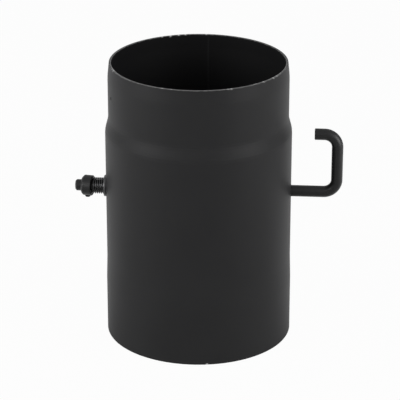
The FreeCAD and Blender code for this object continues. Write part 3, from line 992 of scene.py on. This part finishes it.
@dataclass
class BentBar:
    """Spindle and handle: one bent round bar with milled flats."""

    radius: float = BAR_RADIUS
    height: float = SPINDLE_HEIGHT
    plain_end: float = span("spindle_handle")[0]
    plain_chamfer: float = 1.2
    edge_inset: float = 0.25
    edge_rise: float = 0.12
    edge_outset: float = 0.05
    edge_hold: float = 0.3
    grip_place: float = span("spindle_handle")[1] - BAR_RADIUS
    grip_rise: float = span("spindle_handle", 2)[1] - BAR_RADIUS - SPINDLE_HEIGHT
    grip_end: float = 101.1
    grip_bend: float = 11.5
    grip_chamfer: float = 0.5
    flap_flat: float = 77.2
    nut_flat: float = 7
    flat_face: float = 3
    pin_place: float = sum(span("stop_pin")) / 2
    pin_hole: float = 1.52
    spot_place: float = sum(span("set_screw")) / 2
    spot_radius: float = 2.7
    spot_depth: float = 0.45
    columns: int = 56
    bend_steps: int = 18
    run_step: float = 8

    def limits(self, x: float, side: int) -> Point:
        """Finds how far the flats cut the bar down.

        Args:
            x: A place on the spindle.
            side: Side of that place, where a flat begins or ends there.

        Returns:
            Highest and lowest Y of the bar.
        """
        spot = x + side * MERGE
        high = self.flat_face if abs(spot) < self.flap_flat else self.radius
        low = self.flat_face if abs(abs(spot) - BOLT_OFFSET) < self.nut_flat else self.radius
        return high, -low

    def stations(self) -> list[Station]:
        """Works out the bar's rings.

        Returns:
            Rings from the plain end to the handle's cut end.
        """
        up = Vector((0, 0, 1))
        full = (self.radius, -self.radius)
        edge, bend_x = self.plain_end, self.grip_place - self.grip_bend
        near, far = BOLT_OFFSET - self.nut_flat, BOLT_OFFSET + self.nut_flat
        breaks = [-self.flap_flat, -far, -near, near, far, self.flap_flat]
        start = edge + self.plain_chamfer
        stops = [start, start + self.edge_hold]
        for goal in (*breaks, bend_x):
            begin = stops[-1]
            parts = math.ceil((goal - begin) / self.run_step)
            stops += [begin + (goal - begin) * i / parts for i in range(1, parts + 1)]
        shoulder = self.radius - self.plain_chamfer
        rings = [
            Station(Vector((edge, 0, 0)), up, edge, shoulder - self.edge_inset, *full),
            Station(Vector((edge + self.edge_rise, 0, 0)), up, edge, shoulder + self.edge_outset, *full),
        ]
        for x in stops:
            for side in (-1, 1) if x in breaks else (-1,):
                rings.append(Station(Vector((x, 0, 0)), up, x, self.radius, *self.limits(x, side)))
        along = stops[-1]
        arc = self.grip_bend * math.pi / 2
        for centre_z, begin in ((self.grip_bend, 0.0), (self.grip_rise - self.grip_bend, math.pi / 2)):
            centre = Vector((bend_x, 0, centre_z))
            for step in range(self.bend_steps + 1):
                share = step / self.bend_steps
                angle = begin + math.pi / 2 * share
                inward = Vector((-math.sin(angle), 0, math.cos(angle)))
                point = centre - inward * self.grip_bend
                rings.append(Station(point, inward, along + arc * share, self.radius, *full))
            along += arc + self.grip_rise - 2 * self.grip_bend
        leg = bend_x - self.grip_end
        tail = rings[-1].along
        for share, cut in ((0.5, 0), (1 - self.grip_chamfer / leg, 0), (1, self.grip_chamfer)):
            point = Vector((bend_x - leg * share, 0, self.grip_rise))
            rings.append(Station(point, -up, tail + leg * share, self.radius - cut, *full))
        return rings

    def build(self) -> Piece:
        """Sweeps the bar along its bent centre line, with a UV map that follows its length.

        Returns:
            The bar, with its holes.
        """
        mesh = bmesh.new()
        uv = mesh.loops.layers.uv.new("length_and_girth")
        girth = 2 * math.pi * self.radius * MM
        stations = self.stations()
        rows = []
        for station in stations:
            row = []
            for angle in even_angles(self.columns):
                spot = station.point + station.outward * (station.radius * math.cos(angle))
                spot.y = min(station.high, max(station.low, station.radius * math.sin(angle)))
                row.append(mesh.verts.new(spot))
            rows.append(row)
        for low, high, here, there in zip(rows, rows[1:], stations, stations[1:]):
            for i in range(self.columns):
                j = (i + 1) % self.columns
                face = mesh.faces.new((low[i], low[j], high[j], high[i]))
                spots = ((here, i), (here, i + 1), (there, i + 1), (there, i))
                for loop, (station, column) in zip(face.loops, spots):
                    loop[uv].uv = (station.along * MM, girth * column / self.columns)
        for row in (rows[0], rows[-1]):
            mesh.faces.new(row)
        bar = make_piece("bent_bar", mesh, at=(0, 0, self.height))
        self.drill_holes(bar)
        return bar

    def drill_holes(self, bar: Piece) -> None:
        """Drills the bar for the flap's bolts and the stop pin, and spots it for the set screw.

        Args:
            bar: The bar.
        """
        reach = self.radius + OVERRUN
        for place in (-BOLT_OFFSET, BOLT_OFFSET):
            drill(bar, M5.clear_hole, 2 * reach, Axis.TO_BACK, (place, -reach, self.height))
        drill(bar, self.pin_hole, 2 * reach, Axis.UP, (self.pin_place, 0, self.height - reach))
        spot = (self.spot_place, 0, self.height - self.radius + self.spot_depth)
        drill(bar, self.spot_radius, self.spot_depth + OVERRUN, Axis.DOWN, spot)

    def dress(self, painted: Material) -> None:
        """Builds the bar and gives it its paint."""
        hand_over(self.build(), Body.SPINDLE, "spindle_handle", painted)


@dataclass
class FrictionSet:
    """Washer, spring, set collar and set screw outside the pipe, which give the drag."""

    height: float = SPINDLE_HEIGHT
    columns: int = 96
    row_hold: float = 0.15
    washer_bore: float = SPINDLE_HOLE
    washer_outer: float = extent("outer_washer", 2) / 2
    washer_thickness: float = extent("outer_washer")
    # Punching leaves one side nearly sharp and draws the other round.
    washer_rounds: tuple[float, ...] = (0.12, 0.15, 0.5, 0.25)
    washer_round_step: float = math.radians(20)
    washer_row_step: float = 4
    washer_seat: float = span("outer_washer")[1]
    inner_seat: float = span("inner_washer")[0]
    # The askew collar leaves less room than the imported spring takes.
    spring_squeeze: float = 0.75
    spring_seat: float = span("friction_spring")[1]
    spring_wire: float = 0.62
    spring_radius: float = 6.7
    spring_turns: float = 5.6
    spring_tip: float = 0.35
    spring_steps: int = 56
    wire_sides: int = 18
    # Wide enough for the collar to sit askew on the bar.
    collar_bore: float = BAR_RADIUS + 0.81
    collar_askew: float = math.radians(-9)
    collar_seat: float = span("set_collar")[1]
    collar_outer: float = extent("set_collar", 1) / 2
    collar_width: float = extent("set_collar")
    collar_edge: float = 0.4
    collar_chamfer: float = 1.8
    collar_rounds: tuple[float, ...] = (0.2, 0.15, 0.3, 0.9, 0.9, 0.3)
    collar_row_step: float = 2.5
    screw_top: float = span("set_screw", 2)[1]
    screw_length: float = extent("set_screw", 2)
    screw_point: float = 1.75
    screw_key: float = 2.5
    screw_key_depth: float = 2.5

    def washer(self, name: str, axis: Axis, seat: float) -> Piece:
        """Turns a punched washer.

        Args:
            name: The piece's name.
            axis: Direction that its rounder side faces.
            seat: Where its sharper side lies.

        Returns:
            The washer.
        """
        bore, outer, thick = self.washer_bore, self.washer_outer, self.washer_thickness
        spots = ((bore, 0), (outer, 0), (outer, thick), (bore, thick))
        edges = rounded(softened(spots, self.washer_rounds), self.washer_round_step)
        outline = held(edges, self.washer_row_step, self.row_hold)
        return make_piece(name, turned(outline, even_angles(self.columns)), axis, (seat, 0, self.height))

    def coil_tree(self, wire: Material) -> Tree:
        """Makes the geometry tree of a round wire wound on the bar and ground flat at both ends.

        Args:
            wire: The wire's material.

        Returns:
            The tree.
        """
        names = ["Turns", "Coil Radius", "Wire Radius", "Start", "Length", "Seat", "Axis Height"]
        tree, given = start_tree("ground_coil", names)
        size = given.outputs
        rise = add_node(tree, "ShaderNodeMath", {
            0: size["Start"], 1: -2.0, 2: size["Length"],
        }, operation="MULTIPLY_ADD")
        spiral = add_node(tree, "GeometryNodeCurveSpiral", {
            "Resolution": self.spring_steps, "Rotations": size["Turns"], "Start Radius": size["Coil Radius"],
            "End Radius": size["Coil Radius"], "Height": rise,
        })
        lift = add_node(tree, "ShaderNodeCombineXYZ", {"Z": size["Start"]})
        raised = add_node(tree, "GeometryNodeTransform", {"Geometry": spiral, "Translation": lift})
        section = add_node(tree, "GeometryNodeCurvePrimitiveCircle", {
            "Resolution": self.wire_sides, "Radius": size["Wire Radius"],
        })
        wound = add_node(tree, "GeometryNodeCurveToMesh", {
            "Curve": raised, "Profile Curve": section, "Fill Caps": True,
        })
        place = add_node(tree, "GeometryNodeInputPosition")
        spot = add_node(tree, "ShaderNodeSeparateXYZ", {0: place}).outputs
        ground = add_node(tree, "ShaderNodeClamp", {"Value": spot["Z"], "Min": 0.0, "Max": size["Length"]})
        flat = add_node(tree, "ShaderNodeCombineXYZ", {"X": spot["X"], "Y": spot["Y"], "Z": ground})
        cut = add_node(tree, "GeometryNodeSetPosition", {"Geometry": wound, "Position": flat})
        seat = add_node(tree, "ShaderNodeCombineXYZ", {"X": size["Seat"], "Z": size["Axis Height"]})
        placed = add_node(tree, "GeometryNodeTransform", {
            "Geometry": cut, "Translation": seat, "Rotation": Axis.TO_COLLAR.value,
        })
        end_tree(tree, placed, wire)
        return tree

    def spring(self, wire: Material) -> Piece:
        """Winds the spring by its geometry tree.

        Args:
            wire: The wire's material.

        Returns:
            The spring.
        """
        piece = make_piece("drag_spring", bmesh.new())
        run_tree(piece, self.coil_tree(wire), {
            "Turns": self.spring_turns,
            "Coil Radius": self.spring_radius * MM,
            "Wire Radius": self.spring_wire * MM,
            "Start": (self.spring_tip - self.spring_wire) * MM,
            "Length": (extent("friction_spring") - self.spring_squeeze) * MM,
            "Seat": self.spring_seat * MM,
            "Axis Height": self.height * MM,
        })
        return piece

    def set_askew(self, piece: Piece) -> Piece:
        """Turns a piece about the collar's middle, as the loosely bored collar sits on the bar.

        Args:
            piece: The collar or its screw.

        Returns:
            The same piece.
        """
        middle = Vector((self.collar_seat - self.collar_width / 2, 0, self.height)) * MM
        turn = Matrix.Rotation(self.collar_askew, 4, "Z")
        piece.data.transform(Matrix.Translation(middle) @ turn @ Matrix.Translation(-middle))
        return piece

    def collar(self) -> Piece:
        """Turns the collar and drills the cross hole of its screw.

        Returns:
            The collar.
        """
        bore, outer, wide = self.collar_bore, self.collar_outer, self.collar_width
        edge, slope = self.collar_edge, self.collar_chamfer
        spots = (
            (bore, 0), (outer - edge, 0), (outer, edge),
            (outer, wide - slope), (outer - slope, wide), (bore, wide),
        )
        outline = held(rounded(softened(spots, self.collar_rounds)), self.collar_row_step, self.row_hold)
        at = (self.collar_seat, 0, self.height)
        piece = make_piece("drag_collar", turned(outline, even_angles(self.columns)), Axis.TO_COLLAR, at)
        middle = (self.collar_seat - wide / 2, 0, self.height)
        drill(piece, M5.radius + M5.tapped_play, outer + OVERRUN, Axis.DOWN, middle)
        return self.set_askew(piece)

    def screw(self) -> Piece:
        """Makes the headless screw with its hexagon socket, pointing up at the bar.

        Returns:
            The screw.
        """
        radius, length, slope = M5.radius, self.screw_length, M5.chamfer
        outline = [
            (self.screw_point, 0), (radius, radius - self.screw_point),
            (radius, length - slope), (radius - slope, length),
        ]
        at = (self.collar_seat - self.collar_width / 2, 0, self.screw_top)
        piece = make_piece("collar_screw", threaded(outline, M5), Axis.DOWN, at)
        key = prism(self.screw_key, length - self.screw_key_depth, length + OVERRUN)
        apply_tool(piece, make_piece("socket_tool", key, Axis.DOWN, at))
        return self.set_askew(piece)

    def dress(self, steel: Material, wire: Material, painted: Material, oxide: Material) -> None:
        """Builds the set's pieces and gives them their finishes.

        Args:
            steel: The washers' material.
            wire: The spring's.
            painted: The collar's.
            oxide: The screw's.
        """
        outer = self.washer("outer_spindle_washer", Axis.TO_COLLAR, self.washer_seat)
        hand_over(outer, Body.PIPE, "outer_washer", steel)
        inner = self.washer("inner_spindle_washer", Axis.TO_HANDLE, self.inner_seat)
        hand_over(inner, Body.PIPE, "inner_washer", steel)
        hand_over(self.spring(wire), Body.SPINDLE, "friction_spring", wire)
        hand_over(self.collar(), Body.SPINDLE, "set_collar", painted)
        hand_over(self.screw(), Body.SPINDLE, "set_screw", oxide)


@dataclass
class FlapSet:
    """Flap with its two bolts, lock washers and nuts, and the pin that stops the spindle."""

    height: float = SPINDLE_HEIGHT
    flap_radius: float = extent("damper_flap", 2) / 2
    flap_face: float = span("damper_flap", 1)[0]
    flap_thickness: float = extent("damper_flap", 1)
    flap_edge: float = 0.35
    flap_round_step: float = math.radians(22)
    flap_columns: int = 160
    # Keeps the disc's columns off the corners of the holes.
    flap_column_shift: float = 0.011
    vent_radius: float = 10
    vent_offset: float = 42
    vent_columns: int = 56
    bolt_length: float = 16
    shank_sink: float = 1
    hex_width: float = 8
    hex_columns: int = 72
    # Share of the width across flats that the turned-off corners leave flat.
    hex_flat: float = 0.96
    hex_clear: float = 0.02
    hex_slope: float = math.radians(30)
    head_height: float = 3.5
    nut_height: float = 4
    lock_outer: float = 4.6
    lock_thickness: float = 1.2
    lock_round: float = 0.12
    lock_slit: float = 0.8
    pin_place: float = sum(span("stop_pin")) / 2
    pin_radius: float = 1.5
    pin_bore: float = 0.9
    pin_length: float = extent("stop_pin", 2)
    pin_slit: float = 0.6
    # Height of the chamfer, and what it takes off the radius.
    pin_chamfer: Point = (0.5, 0.3)

    def flap(self) -> Piece:
        """Turns the sheet disc and drills its two vents and two bolt holes.

        Returns:
            The flap.
        """
        radius, thick, edge = self.flap_radius, self.flap_thickness, self.flap_edge
        corners = [(0, 0, 0), (radius, 0, edge), (radius, thick, edge), (0, thick, 0)]
        angles = [angle + self.flap_column_shift for angle in even_angles(self.flap_columns)]
        disc = turned(rounded(corners, self.flap_round_step), angles)
        piece = make_piece("flap_disc", disc, Axis.TO_BACK, (0, self.flap_face, self.height))
        front, depth = self.flap_face - OVERRUN, thick + 2 * OVERRUN
        for side in (-1, 1):
            vent = (0, front, self.height + side * self.vent_offset)
            drill(piece, self.vent_radius, depth, Axis.TO_BACK, vent, self.vent_columns)
            drill(piece, M5.clear_hole, depth, Axis.TO_BACK, (side * BOLT_OFFSET, front, self.height))
        return piece

    def hexagon(self, name: str, low: float, high: float, both_ends: bool) -> Piece:
        """A hexagon along Z whose corners are turned off at one end or both.

        Args:
            name: The object's name.
            low: Height of the lower end.
            high: Height of the upper end.
            both_ends: Whether the upper end is turned off too.

        Returns:
            The piece, at the origin.
        """
        piece = make_piece(name, prism(self.hex_width, low, high))
        flat, corner = self.hex_width / 2 * self.hex_flat, self.hex_width / math.sqrt(3) + self.hex_clear
        slope = (corner - flat) * math.tan(self.hex_slope)
        top = [(corner, high - slope), (flat, high)] if both_ends else [(corner + OVERRUN, high + OVERRUN)]
        outline = [(0, low), (flat, low), (corner, low + slope), *top, (0, top[-1][1])]
        lathe = make_piece("corner_lathe", turned(outline, even_angles(self.hex_columns)))
        apply_tool(piece, lathe, Cut.COMMON)
        return piece

    def bolt(self) -> Piece:
        """Makes one hexagon bolt.

        Returns:
            The bolt along Z, its head below the origin.
        """
        piece = self.hexagon("flap_bolt_pair", -self.head_height, 0, False)
        radius, length, slope = M5.radius, self.bolt_length, M5.chamfer
        outline = [(radius, -self.shank_sink), (radius, length - slope), (radius - slope, length)]
        apply_tool(piece, make_piece("shank", threaded(outline, M5)), Cut.JOIN)
        return piece

    def nut(self) -> Piece:
        """Makes one nut.

        Returns:
            The nut along Z from the origin.
        """
        piece = self.hexagon("flap_nut_pair", 0, self.nut_height, True)
        depth = self.nut_height + 2 * OVERRUN
        drill(piece, M5.radius + M5.tapped_play, depth, Axis.UP, (0, 0, -OVERRUN), M5.columns)
        return piece

    def lock_washer(self) -> Piece:
        """Makes one split washer.

        Returns:
            The washer along Z from the origin.
        """
        bevel = (self.lock_round, self.lock_round, self.lock_round)
        ring = slit_ring(M5.clear_hole, self.lock_outer, self.lock_thickness, bevel, self.lock_slit, 0.0)
        return make_piece("lock_washer_pair", ring)

    def pin(self) -> Piece:
        """Makes the slotted pin.

        Returns:
            The pin, across the bar.
        """
        bore, radius, length = self.pin_bore, self.pin_radius, self.pin_length
        rise, cut = self.pin_chamfer
        ring = slit_ring(bore, radius, length, (rise, 0, cut), self.pin_slit, -math.pi / 2)
        return make_piece("slotted_pin", ring, at=(self.pin_place, 0, self.height - length / 2))

    def pair_tree(self, material: Material) -> Tree:
        """Makes the geometry tree that sets a fastener at both bolt holes, facing the front.

        Args:
            material: The fastener's material.

        Returns:
            The tree.
        """
        tree, given = start_tree("pair_along_bar", ["Spacing", "Face", "Axis Height"])
        size = given.outputs
        half = add_node(tree, "ShaderNodeMath", {0: size["Spacing"], 1: -0.5}, operation="MULTIPLY")
        first = add_node(tree, "ShaderNodeCombineXYZ", {
            "X": half, "Y": size["Face"], "Z": size["Axis Height"],
        })
        step = add_node(tree, "ShaderNodeCombineXYZ", {"X": size["Spacing"]})
        holes = add_node(tree, "GeometryNodeMeshLine", {
            "Count": 2, "Start Location": first, "Offset": step,
        })
        fitted = add_node(tree, "GeometryNodeInstanceOnPoints", {
            "Points": holes, "Instance": size["Geometry"], "Rotation": Axis.TO_FRONT.value,
        })
        end_tree(tree, fitted, material)
        return tree

    def dress(self, paint: Material, zinc: Material, wire: Material) -> None:
        """Builds the set's pieces and gives them their finishes.

        Args:
            paint: The flap's material.
            zinc: The fasteners'.
            wire: The pin's.
        """
        hand_over(self.flap(), Body.SPINDLE, "damper_flap", paint)
        pair = self.pair_tree(zinc)
        fasteners = (
            (self.bolt(), "flap_bolts", self.flap_face + self.flap_thickness),
            (self.lock_washer(), "flap_lock_washers", -self.flap_face),
            (self.nut(), "flap_nuts", -self.flap_face - self.lock_thickness),
        )
        for piece, node, face in fasteners:
            run_tree(piece, pair, {
                "Spacing": 2 * BOLT_OFFSET * MM, "Face": face * MM, "Axis Height": self.height * MM,
            })
            hand_over(piece, Body.SPINDLE, node, zinc)
        hand_over(self.pin(), Body.SPINDLE, "stop_pin", wire)


@dataclass(frozen=True)
class Softbox:
    """One large soft lamp, with its place and size in metres."""

    name: str
    place: Corner
    size: Point
    power: float


@dataclass
class Studio:
    """Camera, floor, surroundings and lamps, in metres."""

    distance: float = 1.8
    elevation: float = math.radians(22.433)
    azimuth: float = math.radians(4.178)
    aim_height: float = 0.12109
    aim_right: float = 0.00122
    lens: float = 183.42
    lamp_aim: Corner = (0, 0, 0.13)
    ambient: float = 0.145
    sky_reach: Point = (-0.05, 0.3)
    sky_gloss: Point = (0.06, 0.45)
    sweep_reach: Point = (-0.12, 0.1)
    sweep_gloss: Point = (0.03, 1.0)
    white: Colour = (1, 1, 1, 1)
    floor_size: float = 8
    floor_colour: str = "#e6e6e4"
    floor_white: float = 0.97
    softboxes: list[Softbox] = field(default_factory=lambda: [
        Softbox("left_softbox", (-1.5, -0.75, 0.42), (1.0, 1.35), 16),
        Softbox("right_softbox", (1.5, -0.66, 0.42), (1.0, 1.35), 16.6),
        Softbox("front_softbox", (-0.9, -1.2, 0.72), (0.5, 0.5), 2.2),
    ])

    def camera(self) -> None:
        """Sets the camera at the photograph's viewing angle."""
        data = bpy.data.cameras.new("photo_camera")
        data.lens = self.lens
        camera = bpy.data.objects.new("photo_camera", data)
        bpy.context.scene.collection.objects.link(camera)
        right = Vector((math.cos(self.azimuth), math.sin(self.azimuth), 0))
        level = Vector((math.sin(self.azimuth), -math.cos(self.azimuth), 0))
        back = level * math.cos(self.elevation) + Vector((0, 0, math.sin(self.elevation)))
        camera.location = Vector((0, 0, self.aim_height)) + right * self.aim_right + back * self.distance
        camera.rotation_euler = back.to_track_quat("Z", "Y").to_euler()
        bpy.context.scene.camera = camera

    def lamps(self) -> None:
        """Hangs the softboxes."""
        for box in self.softboxes:
            data = bpy.data.lights.new(box.name, "AREA")
            data.shape = "RECTANGLE"
            data.size, data.size_y = box.size
            data.energy = box.power
            lamp = bpy.data.objects.new(box.name, data)
            bpy.context.scene.collection.objects.link(lamp)
            lamp.location = box.place
            away = Vector(box.place) - Vector(self.lamp_aim)
            lamp.rotation_euler = away.to_track_quat("Z", "Y").to_euler()

    def backdrop_share(self, tree: Tree, along: Socket, reach: Point, gloss: Point) -> Node:
        """How much of the white backdrop a ray sees: all for the camera and glass, a share for gloss.

        Args:
            tree: Tree of the floor's or the world's material.
            along: Coordinate along which the glossy share grows.
            reach: Where it begins and ends to grow.
            gloss: Smallest and largest glossy share.

        Returns:
            Node whose output goes from zero to one.
        """
        glossy = add_node(tree, "ShaderNodeMapRange", {
            "Value": along, "From Min": reach[0], "From Max": reach[1],
            "To Min": gloss[0], "To Max": gloss[1],
        }, interpolation_type="SMOOTHSTEP")
        rays = add_node(tree, "ShaderNodeLightPath").outputs
        clear = add_node(tree, "ShaderNodeMath", {
            0: rays["Is Camera Ray"], 1: rays["Is Transmission Ray"],
        }, operation="MAXIMUM")
        return add_node(tree, "ShaderNodeMath", {
            0: rays["Is Glossy Ray"], 1: glossy, 2: clear,
        }, operation="MULTIPLY_ADD", use_clamp=True)

    def surroundings(self) -> None:
        """A white backdrop for the camera, a sky that pales upwards for gloss, and dim even light."""
        world = bpy.data.worlds.new("white_backdrop")
        world.use_nodes = True
        bpy.context.scene.world = world
        tree = world.node_tree
        tree.nodes.clear()
        way = add_node(tree, "ShaderNodeTexCoord").outputs["Generated"]
        up = add_node(tree, "ShaderNodeSeparateXYZ", {0: way}).outputs["Z"]
        share = self.backdrop_share(tree, up, self.sky_reach, self.sky_gloss)
        dim = add_node(tree, "ShaderNodeBackground", {"Color": self.white, "Strength": self.ambient})
        bright = add_node(tree, "ShaderNodeBackground", {"Color": self.white, "Strength": 1.0})
        mixed = add_node(tree, "ShaderNodeMixShader", {0: share, 1: dim, 2: bright})
        add_node(tree, "ShaderNodeOutputWorld", {"Surface": mixed})

    def floor(self) -> None:
        """A pale floor that is nearly white to the camera and keeps a soft shadow."""
        mesh = bmesh.new()
        bmesh.ops.create_grid(mesh, x_segments=1, y_segments=1, size=self.floor_size / 2)
        data = bpy.data.meshes.new("floor")
        mesh.to_mesh(data)
        mesh.free()
        floor = bpy.data.objects.new("floor", data)
        bpy.context.scene.collection.objects.link(floor)
        material = bpy.data.materials.new("pale_floor")
        material.use_nodes = True
        tree = material.node_tree
        tree.nodes.clear()
        place = add_node(tree, "ShaderNodeTexCoord").outputs["Object"]
        back = add_node(tree, "ShaderNodeSeparateXYZ", {0: place}).outputs["Y"]
        share = self.backdrop_share(tree, back, self.sweep_reach, self.sweep_gloss)
        matt = add_node(tree, "ShaderNodeBsdfDiffuse", {"Color": linear(self.floor_colour)})
        bright = add_node(tree, "ShaderNodeEmission", {"Color": self.white, "Strength": 1.0})
        part = add_node(tree, "ShaderNodeMath", {0: share, 1: self.floor_white}, operation="MULTIPLY")
        mixed = add_node(tree, "ShaderNodeMixShader", {0: part, 1: matt, 2: bright})
        add_node(tree, "ShaderNodeOutputMaterial", {"Surface": mixed})
        data.materials.append(material)

    def build(self) -> None:
        """Sets up the whole studio."""
        self.camera()
        self.lamps()
        self.surroundings()
        self.floor()
        bpy.context.scene.view_settings.view_transform = "Standard"


def main() -> None:
    """Builds the studio and the object's sub-assemblies."""
    logging.basicConfig(level=logging.INFO, format="%(message)s")
    Studio().build()
    finishes = (StovePaint(), PAINTED_BAR, ZINC, MILL_STEEL, OILED_WIRE, BLACK_OXIDE)
    paint, bar, zinc, steel, wire, oxide = (finish.material() for finish in finishes)
    FluePipe().dress(paint)
    BentBar().dress(bar)
    FrictionSet().dress(steel, wire, bar, oxide)
    FlapSet().dress(paint, zinc, wire)


if __name__ == "__main__":
    main()
